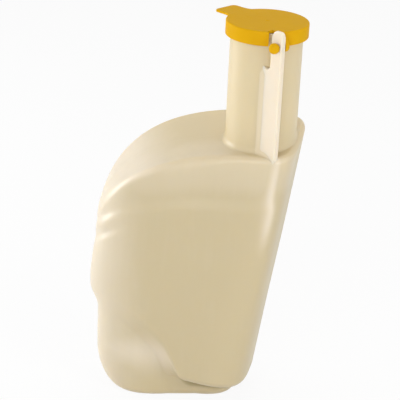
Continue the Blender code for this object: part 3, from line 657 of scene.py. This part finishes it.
rim_inset, fin_height = edge_rows(POST_HALF, FIN_EDGE)
fin_lines = fin_outline(POST_OFFSET + fin_height)
column = np.arange(fin_lines.shape[1])
past_foot = smoothstep((column - ROOT_COLUMNS - FIN_FOOT_COLUMNS) / EDGE_FADE_IN)
free_edge = past_foot * smoothstep((column[-1] - column) / EDGE_FADE_OUT)
hinge_fin = plate(
    "hinge_fin", fin_lines, rim_inset[:, None] * free_edge, fin_height,
    pin_hole(HINGE_OUT, HINGE_HEIGHT), hinge_place(0.0, POST_OFFSET, 0.0),
)

# %% Round off the far side of the post's tip
TIP_STEPS, TIP_PAST, TIP_MIDDLE, TIP_REACH = 25, 4.0 * MM, 7.5 * MM, 8.0 * MM
bend = np.linspace(0.0, math.pi / 2.0, TIP_STEPS)
tip_far = -POST_HALF - SWING_GAP
tip_outline = np.concatenate([
    [[tip_far, POST_TIP - TIP_FALL]],
    np.stack([
        POST_HALF - TIP_EDGE - (POST_THICKNESS - 2.0 * TIP_EDGE) * np.cos(bend),
        POST_TIP - TIP_FALL * (1.0 - np.sin(bend)),
    ], 1),
    [[POST_HALF - TIP_EDGE, POST_TIP + TIP_PAST], [tip_far, POST_TIP + TIP_PAST]],
])
tip_reach = np.array([-TIP_REACH, TIP_REACH])
tip_place = (on_hinge(POST_OFFSET, POST_INNER + TIP_MIDDLE, 0.0), np.stack([ALONG_PIN, UP, -OUTWARD]))
cut(hinge_fin, plate("post_tip", tip_outline[None], np.zeros(2), tip_reach, [], tip_place))


# %% Soft fillets where the fin grows out of the shell
FILLET_LEVEL, FILLET_FAR, FILLET_PIVOT = NECK_FOOT + 25.0 * MM, 45.0 * MM, 28.0 * MM
LEVEL_RAYS, FAN_RAYS, FILLET_STEPS = 40, 60, 9
FILLET_FADE_IN, FILLET_FADE_OUT, FILLET_LEAST = 5.0, 12.0, 0.06
FILLET_SUNK, FILLET_BURIED = 0.08 * MM, 0.7 * MM
FILLET_FRONT, FILLET_BACK = 3.0 * MM, 2.0 * MM


def unit(vector):
    """A vector of the same direction, one long."""
    return vector / np.linalg.norm(vector)


def fillet(name, aside, side, width):
    """Curves from the fin's flank to the shell's skin, each bent towards the point where the two meet."""
    levels = np.linspace(SLOT_BOTTOM, FILLET_LEVEL, LEVEL_RAYS)[:-1]
    rays = [((FILLET_FAR, z), (-1.0, 0.0)) for z in levels]
    fan = np.linspace(0.0, math.pi / 2.0, FAN_RAYS)
    rays += [((FILLET_PIVOT, FILLET_LEVEL), (-math.cos(a), -math.sin(a))) for a in fan]
    part = np.linspace(0.0, 1.0, FILLET_STEPS)[:, None]
    rows = []
    for number, ((out, z), (along, up)) in enumerate(rays):
        source = Vector(on_hinge(aside, out, z))
        hit, normal, _, _ = shell_tree.ray_cast(source, Vector(OUTWARD * along + UP * up))
        meet, normal = np.array(hit), np.array(normal)
        off_shell = unit(normal - ALONG_PIN * (normal @ ALONG_PIN))
        off_fin = unit(side * ALONG_PIN - normal * (side * ALONG_PIN @ normal))
        ends = smoothstep(number / FILLET_FADE_IN) * smoothstep((len(rays) - 1 - number) / FILLET_FADE_OUT)
        reach = width * (FILLET_LEAST + (1.0 - FILLET_LEAST) * ends)
        start = meet + off_shell * reach - side * ALONG_PIN * FILLET_SUNK
        near, face, _, _ = shell_tree.find_nearest(Vector(meet + off_fin * reach))
        end = np.array(near) - np.array(face) * FILLET_SUNK
        curve = (1.0 - part) ** 2 * start + 2.0 * part * (1.0 - part) * meet + part**2 * end
        buried = meet - FILLET_BURIED * unit(off_shell + off_fin)
        rows.append(np.concatenate([curve, [buried]])[::int(side)])
    rows = np.array(rows)
    strip = closed_skin(name, rows, rows[0].mean(0), rows[-1].mean(0))
    strip.data.set_sharp_from_angle(angle=SKIN_SHARP)
    return strip


front_fillet = fillet("front_fillet", POST_OFFSET + POST_HALF, 1.0, FILLET_FRONT)
back_fillet = fillet("back_fillet", POST_OFFSET - POST_HALF, -1.0, FILLET_BACK)

# %% [markdown]
# ## The lid
# The lid is a shallow cap of solid yellow plastic: a flat disc, a skirt with a snap ring inside, and a lip
# that goes into the neck. It is a turned shape, so its half section is carried round the neck's axis. The
# Screw modifier would do the same; the arrays give the points at once. The gap for the post is then cut.

# %% Turn a half section
def turned(name, profile, steps, place):
    """Each radius and height of the profile carried round: radius times cosine and sine of the turn."""
    turns = np.arange(steps) * 2.0 * math.pi / steps
    radius, height = profile[1:-1, 0, None], profile[1:-1, 1, None]
    flat = [radius * np.cos(turns), radius * np.sin(turns), np.broadcast_to(height, (len(height), steps))]
    origin, axes = place
    ends = origin + np.array([[0.0, 0.0, profile[0, 1]], [0.0, 0.0, profile[-1, 1]]]) @ axes
    return closed_skin(name, origin + np.stack(flat, -1) @ axes, *ends)


SNAP_HEIGHT, SEAL_RADIUS, SEAL_DEPTH = 0.6 * MM, 18.9 * MM, 1.8 * MM
SEAL_WALL, SEAL_TAPER, LID_HEM, LID_STEPS = 1.2 * MM, 0.5 * MM, 0.3 * MM, 192
LID_FLAT, LID_MIDDLE = 1.4 * LID_EDGE, 12.0 * MM
GATE_FOOT, GATE_RADIUS, GATE_EDGE, GATE_TOP = 1.6 * MM, 1.3 * MM, 0.25 * MM, 0.3 * MM
inner = LID_RADIUS - LID_WALL
snap = RIM - BEAD_DROP - BEAD_HEIGHT - SEAT_GAP
snap_radius = NECK_RADIUS + BEAD + SEAT_GAP
seal = LID_UNDER - SEAL_DEPTH
lid_corner = circle((LID_RADIUS - LID_EDGE, LID_HEIGHT - LID_EDGE), LID_EDGE, 0.0, 90.0, 9)
hem = circle((LID_RADIUS - LID_HEM, SKIRT_BOTTOM + LID_HEM), LID_HEM, -90.0, 0.0, 5)
lid_profile = np.concatenate([
    [(0.0, LID_UNDER), (SEAL_RADIUS - SEAL_WALL, LID_UNDER), (SEAL_RADIUS - SEAL_WALL, seal)],
    [(SEAL_RADIUS - SEAL_TAPER, seal), (SEAL_RADIUS, LID_UNDER), (inner, LID_UNDER)],
    [(inner, snap + SNAP_HEIGHT), (snap_radius, snap), (snap_radius, snap - SNAP_HEIGHT)],
    [(inner, SKIRT_BOTTOM)],
    hem,
    lid_corner,
    [(LID_RADIUS - LID_FLAT, LID_HEIGHT), (LID_MIDDLE, LID_HEIGHT), (GATE_FOOT, LID_HEIGHT)],
    [(GATE_RADIUS, LID_HEIGHT + GATE_EDGE), (0.0, LID_HEIGHT + GATE_TOP)],
])
lid_cap = turned("lid_cap", lid_profile, LID_STEPS, (np.array([NECK_X, 0.0, 0.0]), np.eye(3)))


# %% Cut the gap for the post
GAP_PAST = 4.0 * MM
round_out = POST_INNER + POST_ROUND - HINGE_OUT
clear = math.hypot(round_out, POST_TIP - POST_ROUND - HINGE_HEIGHT) + POST_ROUND + SWING_GAP
deep = HINGE_OUT - math.sqrt(clear**2 - (LID_UNDER - HINGE_HEIGHT) ** 2)
far, over, shelf = POST_OUTER + GAP_PAST, LID_SKIRT + GAP_PAST, LID_SKIRT - LID_TOP - SEAT_GAP
gap_half = POST_HALF + SWING_GAP
ring = math.sqrt(snap_radius**2 - (POST_OFFSET + gap_half) ** 2) - SWING_GAP
gap_outline = np.array([[
    (ring, -GAP_PAST), (far, -GAP_PAST), (far, over), (deep, over), (deep, shelf), (ring, shelf),
]])
gap_cutter = plate(
    "post_gap", gap_outline, np.zeros(2), np.array([-gap_half, gap_half]), [],
    hinge_place(0.0, POST_OFFSET, SKIRT_BOTTOM),
)
cut(lid_cap, gap_cutter)
print("the gap starts", round(deep / MM, 1), "mm out from the lid's middle")

# %% [markdown]
# ## The thumb tab and the hinge ear
# A tab at the back left lifts the lid, and an ear under its edge holds the pin. Both are plates again.
# They run a little way into the cap, because on the real lid they are moulded in one shot with it.
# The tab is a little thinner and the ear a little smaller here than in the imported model.

# %% Tab and ear
TAB_AZIMUTH, TAB_REACH, TAB_WIDTH, TAB_END = -122.0, 38.5 * MM, 24.0 * MM, 18.8 * MM
TAB_CORNER, TAB_FLANK, TAB_THICKNESS, TAB_ROOT = 3.2 * MM, 7.0 * MM, 1.5 * MM, 5.5 * MM
TAB_EDGE, TAB_SUNK, TAB_STEPS, TAB_CORNER_STEPS = 0.55 * MM, 0.04 * MM, 25, 13
EAR_THICKNESS, EAR_RADIUS, EAR_TOP = 3.0 * MM, 3.5 * MM, 6.9 * MM
EAR_EDGE, EAR_STEP, EAR_TURN, EAR_TURN_STEPS = 0.4 * MM, 0.4 * MM, 30.0, 43
EAR_OFFSET = POST_OFFSET - POST_HALF - SWING_GAP - EAR_THICKNESS / 2.0


def tab_outline():
    """Flanks that are quarter ellipses from the lid's edge out to a straight end with round corners."""
    half, end = TAB_WIDTH / 2.0, TAB_END / 2.0
    root = math.sqrt(LID_RADIUS**2 - half**2)
    bend = np.linspace(0.0, math.pi / 2.0, TAB_STEPS)
    flank = np.stack([half - (half - end) * np.sin(bend), root + TAB_FLANK * (1.0 - np.cos(bend))], 1)
    corner = circle((end - TAB_CORNER, TAB_REACH - TAB_CORNER), TAB_CORNER, 0.0, 90.0, TAB_CORNER_STEPS)
    right = np.concatenate([[[half, root - TAB_ROOT]], flank, corner])
    return evenly(np.concatenate([right, right[::-1] * (-1.0, 1.0)]), OUTLINE_STEP)


tab_out = heading(TAB_AZIMUTH)
tab_place = (
    np.array([NECK_X, 0.0, LID_HEIGHT - TAB_THICKNESS / 2.0 - TAB_SUNK]),
    np.stack([np.cross(tab_out, UP), tab_out, UP]),
)
lid_tab = plate("lid_tab", tab_outline()[None], *edge_rows(TAB_THICKNESS / 2.0, TAB_EDGE), [], tab_place)
ear_outline = np.concatenate([
    circle((0.0, 0.0), EAR_RADIUS, -180.0, EAR_TURN, EAR_TURN_STEPS),
    [(0.0, EAR_TOP), (-EAR_RADIUS, EAR_TOP)],
])
lid_ear = plate(
    "lid_ear", evenly(ear_outline, EAR_STEP)[None], *edge_rows(EAR_THICKNESS / 2.0, EAR_EDGE),
    pin_hole(0.0, 0.0), hinge_place(HINGE_OUT, EAR_OFFSET, HINGE_HEIGHT),
)

# %% [markdown]
# ## The pin with its ball
# A yellow pin goes through the post and the ear, and ends in a ball that stops it from pulling out.
# It is turned like the lid, about the line of the hinge.

# %% Pin
PIN_EDGE, BALL_RADIUS, BALL_FOOT = 0.4 * MM, 3.4 * MM, 2.55 * MM
PIN_STEPS, BALL_STEPS = 64, 33
head = POST_HALF + SEAT_GAP
tail = EAR_OFFSET - EAR_THICKNESS / 2.0 - POST_OFFSET
below = math.sqrt(BALL_RADIUS**2 - BALL_FOOT**2)
ball_start = -math.degrees(math.asin(below / BALL_RADIUS))
ball = circle((0.0, head + below), BALL_RADIUS, ball_start, 90.0, BALL_STEPS)
pin_profile = np.concatenate([
    [(0.0, tail), (PIN_RADIUS - PIN_EDGE, tail), (PIN_RADIUS, tail + PIN_EDGE), (PIN_RADIUS, head)],
    ball,
])
ball_pin = turned("ball_pin", pin_profile, PIN_STEPS, hinge_place(HINGE_OUT, POST_OFFSET, HINGE_HEIGHT))
ball_pin.data.set_sharp_from_angle(angle=SKIN_SHARP)

# %% [markdown]
# ## What each piece rides on
# The shell, the fin and its fillets stand still. The cap, the tab, the ear and the pin turn with the lid.
# The imported solids that these pieces stand for are hidden from the render.

# %% Ride and replace
for piece in (bottle_shell, hinge_fin, front_fillet, back_fillet):
    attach(piece, "bottle")
    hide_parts("bottle")
for piece in (lid_cap, lid_tab, lid_ear, ball_pin):
    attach(piece, "lid")
for piece in (lid_cap, lid_tab, lid_ear):
    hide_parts("lid")
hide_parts("hinge_pin")

# %% [markdown]
# ## Writing a finish as sums
# A material is a web of small nodes. Wired by hand it is hard to read back, so one class stands for a
# socket and lets ordinary arithmetic add the Math nodes. Every other kind of node comes from one method.

# %% A socket that can be added and multiplied
class Strand:
    """One socket of a node tree; an operator on it adds a Math node and gives that node's socket."""

    def __init__(self, tree, socket=None):
        self.tree = tree
        self.socket = socket

    def node(self, kind, settings=(), values=(), output=0):
        """A node of a kind: its settings first, then a value or a link for each of its sockets."""
        made = self.tree.nodes.new(kind)
        for name, value in dict(settings).items():
            setattr(made, name, value)
        for key, value in dict(values).items():
            if isinstance(value, Strand):
                self.tree.links.new(value.socket, made.inputs[key])
            else:
                made.inputs[key].default_value = value
        return Strand(self.tree, made.outputs[output] if len(made.outputs) else None)

    def math(self, operation, first, second=0.0):
        """A Math node of an operation on two values."""
        return self.node("ShaderNodeMath", {"operation": operation}, {0: first, 1: second})

    def __add__(self, other):
        return self.math("ADD", self, other)

    def __sub__(self, other):
        return self.math("SUBTRACT", self, other)

    def __rsub__(self, other):
        return self.math("SUBTRACT", other, self)

    def __mul__(self, other):
        return self.math("MULTIPLY", self, other)

    __radd__ = __add__
    __rmul__ = __mul__

    def ease(self, low, high):
        """An even S from 0 at the low value to 1 at the high one."""
        settings = {"interpolation_type": "SMOOTHSTEP"}
        return self.node("ShaderNodeMapRange", settings, {"Value": self, "From Min": low, "From Max": high})

    def blend(self, first, second):
        """A colour between two colours, by this value."""
        return self.node("ShaderNodeMix", {"data_type": "RGBA"}, {0: self, 6: first, 7: second}, 2)

    def noise(self, coordinates, scale, detail=3.0, roughness=0.5):
        """Smooth noise about a half, at a scale per metre."""
        values = {"Vector": coordinates, "Scale": scale, "Detail": detail, "Roughness": roughness}
        return self.node("ShaderNodeTexNoise", {}, values)


def new_finish(name):
    """An empty material and a strand to start its nodes from."""
    material = bpy.data.materials.new(name)
    material.use_nodes = True
    material.node_tree.nodes.clear()
    return material, Strand(material.node_tree)


def coordinates(start):
    """Object coordinates, which are metres in the frame of the bottle."""
    return start.node("ShaderNodeTexCoord", {}, {}, "Object")


def principled(material, start, values):
    """Ends a finish with a Principled shader of these values."""
    shader = start.node("ShaderNodeBsdfPrincipled", {}, values)
    start.node("ShaderNodeOutputMaterial", {}, {"Surface": shader})
    return material


# %% [markdown]
# ## Milky plastic
# The wall is a natural polyolefin with no pigment: pale ivory, slightly see-through, with a soft gloss.
# Light goes into it and comes out near by, which is what subsurface scattering does, so the shader has it.
# Blown plastic is never quite even. It has faint streaks along the neck, cloudy patches where the wall is
# thick or thin, a parting line where the two halves of the mould met, and a skin like fine orange peel.

# %% Milky finish
NECK_TONE_LOW, NECK_TONE_HIGH = 165.0 * MM, 215.0 * MM
PARTING_CORE, PARTING_EDGE = 0.08 * MM, 0.28 * MM
# Colour and share of the painted shade in the nook under the lip.
NOOK_SHADE_COLOUR, NOOK_SHADE_SHARE = (0.30, 0.24, 0.11, 1.0), 0.8


def milky_plastic(name, deep, warm, pale, scatter):
    """Ivory from deep to warm up the neck, with painted light and painted shade where the mesh is marked
    so.
    """
    material, start = new_finish(name)
    place = coordinates(start)
    y, z = [start.node("ShaderNodeSeparateXYZ", {}, {"Vector": place}, axis) for axis in "YZ"]
    stretched = start.node("ShaderNodeMapping", {}, {"Vector": place, "Scale": (1.0, 1.0, 0.12)})
    cloud = start.noise(place, 28.0, 3.0)
    streak = start.noise(stretched, 210.0, 2.0)
    # Painted light and a paler tone, read from the pale mark on the shell.
    pale_and_painted_light = start.node("ShaderNodeAttribute", {"attribute_name": "pale"}, {}, "Fac")
    # Painted shade under the lip, read from its mark on the shell.
    nook_shade = start.node("ShaderNodeAttribute", {"attribute_name": "nook_shade"}, {}, "Fac")
    by_height = z.ease(NECK_TONE_LOW, NECK_TONE_HIGH).blend(deep, warm)
    tone = pale_and_painted_light + (cloud - 0.5) * 0.16 + (streak - 0.5) * 0.14
    colour = (nook_shade * NOOK_SHADE_SHARE).blend(tone.blend(by_height, pale), NOOK_SHADE_COLOUR)
    parting = 1.0 - start.math("ABSOLUTE", y).ease(PARTING_CORE, PARTING_EDGE)
    peel = start.noise(place, 900.0, 2.0)
    ripple = start.noise(place, 70.0, 2.0)
    height = peel * 0.04 + ripple * 0.8 + streak * 0.12 + parting * 1.0
    bump = start.node("ShaderNodeBump", {}, {"Strength": 0.35, "Distance": 0.3 * MM, "Height": height})
    return principled(material, start, {
        "Base Color": colour,
        "Roughness": 0.38 + (cloud - 0.5) * 0.06,
        "Normal": bump,
        "IOR": 1.5,
        "Subsurface Weight": scatter,
        "Subsurface Radius": (1.0, 0.85, 0.6),
        "Subsurface Scale": 4.0 * MM,
    })


# The third tone of each is the pale colour that painted light blends towards.
wall_tones = (0.57, 0.475, 0.295, 1.0), (0.69, 0.565, 0.35, 1.0), (0.75, 0.65, 0.51, 1.0)
fin_tones = (0.76, 0.67, 0.52, 1.0), (0.78, 0.69, 0.55, 1.0), (0.82, 0.74, 0.61, 1.0)
fillet_tones = (0.66, 0.56, 0.38, 1.0), (0.72, 0.61, 0.42, 1.0), (0.78, 0.69, 0.53, 1.0)
milky = milky_plastic("milky_plastic_finish", *wall_tones, 0.5)
solid_milky = milky_plastic("solid_milky_finish", *fin_tones, 0.5)
fillet_milky = milky_plastic("fillet_milky_finish", *fillet_tones, 0.0)
print("milky finish has", len(milky.node_tree.nodes), "nodes")

# %% [markdown]
# ## Yellow plastic
# The lid is moulded from solid coloured plastic. Its colour has a slight cloud, its skin a fine grain, and
# handling leaves small dull scuffs on it.

# %% Yellow finish
def yellow_plastic():
    """Two near yellows by a cloud, with a grain as bump, and duller where a sparse noise scuffs it."""
    material, start = new_finish("yellow_plastic_finish")
    place = coordinates(start)
    cloud = start.noise(place, 60.0, 3.0)
    grain = start.noise(place, 1100.0, 2.0)
    scuff = start.noise(place, 190.0, 4.0, 0.65).ease(0.52, 0.75)
    colour = (cloud * 0.8 + 0.1).blend((0.64, 0.345, 0.006, 1.0), (0.70, 0.385, 0.009, 1.0))
    height = grain * 0.3 + cloud * 0.6
    bump = start.node("ShaderNodeBump", {}, {"Strength": 0.3, "Distance": 0.2 * MM, "Height": height})
    return principled(material, start, {
        "Base Color": colour,
        "Roughness": 0.36 + (cloud - 0.5) * 0.1 + scuff * 0.1,
        "Normal": bump,
        "IOR": 1.5,
        "Specular IOR Level": 0.01,
        "Subsurface Weight": 0.15,
        "Subsurface Radius": (1.0, 0.6, 0.1),
        "Subsurface Scale": 2.0 * MM,
    })


yellow = yellow_plastic()
finishes = [milky, solid_milky, fillet_milky, fillet_milky, yellow, yellow, yellow, yellow]
pieces = [bottle_shell, hinge_fin, front_fillet, back_fillet, lid_cap, lid_tab, lid_ear, ball_pin]
for piece, finish in zip(pieces, finishes):
    piece.data.materials.clear()
    piece.data.materials.append(finish)
print("yellow finish has", len(yellow.node_tree.nodes), "nodes")

# %% [markdown]
# ## Floor, light and camera
# The bottle stands on a white sweep under soft studio light. The camera sees the floor and the world as
# white, through the Light Path node, while the lamps stay at a plain level, so no colour is washed out.
# The camera looks from a little to the right and above, with a long lens, and leans by about 2.5 degrees.

# %% Floor and world
HALF_FLOOR, FLOOR_DROP = 3.0, 0.02 * MM
WHITE, SWEEP_GREY, SWEEP_WHITE = (1.0, 1.0, 1.0, 1.0), (0.86, 0.86, 0.86, 1.0), 0.9
FILL_STRENGTH = 0.48


def sees_white(start):
    """1 for the rays that should find white: those of the camera, of gloss and of glass."""
    names = ("Is Camera Ray", "Is Glossy Ray", "Is Transmission Ray")
    camera, glossy, through = [start.node("ShaderNodeLightPath", {}, {}, name) for name in names]
    return start.math("MAXIMUM", camera, start.math("MAXIMUM", glossy, through))


def white_sweep():
    """A pale grey floor that is mostly plain white to the camera, so only a soft shadow shows."""
    material, start = new_finish("white_sweep")
    lit = start.node("ShaderNodeBsdfDiffuse", {}, {"Color": SWEEP_GREY})
    white = start.node("ShaderNodeEmission", {}, {"Color": WHITE, "Strength": 1.0})
    surface = start.node("ShaderNodeMixShader", {}, {0: sees_white(start) * SWEEP_WHITE, 1: lit, 2: white})
    start.node("ShaderNodeOutputMaterial", {}, {"Surface": surface})
    return material


corners = np.array([(-1, -1, 0), (1, -1, 0), (1, 1, 0), (-1, 1, 0)]) * HALF_FLOOR
floor_piece = add_piece("floor", corners - (0.0, 0.0, FLOOR_DROP), [(0, 1, 2, 3)])
floor_piece.data.materials.append(white_sweep())

world = bpy.data.worlds.new("studio")
world.use_nodes = True
world.node_tree.nodes.clear()
sky = Strand(world.node_tree)
fill = sky.node("ShaderNodeBackground", {}, {"Color": WHITE, "Strength": FILL_STRENGTH})
backdrop = sky.node("ShaderNodeBackground", {}, {"Color": WHITE, "Strength": 1.0})
seen = sky.node("ShaderNodeMixShader", {}, {0: sees_white(sky), 1: fill, 2: backdrop})
sky.node("ShaderNodeOutputWorld", {}, {"Surface": seen})
scene.world = world

# %% Lamps and camera
target = Vector((0.0120, 0.0, 0.1421))


def soft_lamp(name, place, size, power):
    """An area lamp of a width and a height at a place, turned to face the bottle."""
    lamp = bpy.data.lights.new(name, "AREA")
    lamp.shape = "RECTANGLE"
    lamp.size, lamp.size_y = size
    lamp.energy = power
    item = bpy.data.objects.new(name, lamp)
    item.location = place
    item.rotation_euler = (target - Vector(place)).to_track_quat("-Z", "Y").to_euler()
    scene.collection.objects.link(item)


soft_lamp("key", (-0.15, -1.3, 0.60), (1.0, 1.0), 8.0)
soft_lamp("left", (-1.0, 0.1, 0.22), (0.5, 0.5), 6.0)
soft_lamp("right", (0.95, -0.45, 0.35), (0.4, 1.0), 4.5)
soft_lamp("top", (0.0, 0.45, 1.3), (0.9, 0.9), 4.0)

AZIMUTH, ELEVATION, ROLL, DISTANCE, LENS = 12.0, 23.58, 2.57, 0.9452, 126.0
a, e, r = (math.radians(angle) for angle in (AZIMUTH, ELEVATION, ROLL))
towards = Vector((math.sin(a) * math.cos(e), -math.cos(a) * math.cos(e), math.sin(e)))
right = Vector((math.cos(a), math.sin(a), 0.0))
upward = towards.cross(right)
leaning = right * math.cos(r) + upward * math.sin(r)
lens = bpy.data.cameras.new("camera")
lens.lens = LENS
lens.sensor_width = 36.0
lens.clip_start = 0.01
camera = bpy.data.objects.new("camera", lens)
rotation = Matrix((leaning, upward * math.cos(r) - right * math.sin(r), towards)).transposed()
camera.matrix_world = Matrix.Translation(target + towards * DISTANCE) @ rotation.to_4x4()
scene.collection.objects.link(camera)
scene.camera = camera
scene.view_settings.view_transform = "Standard"
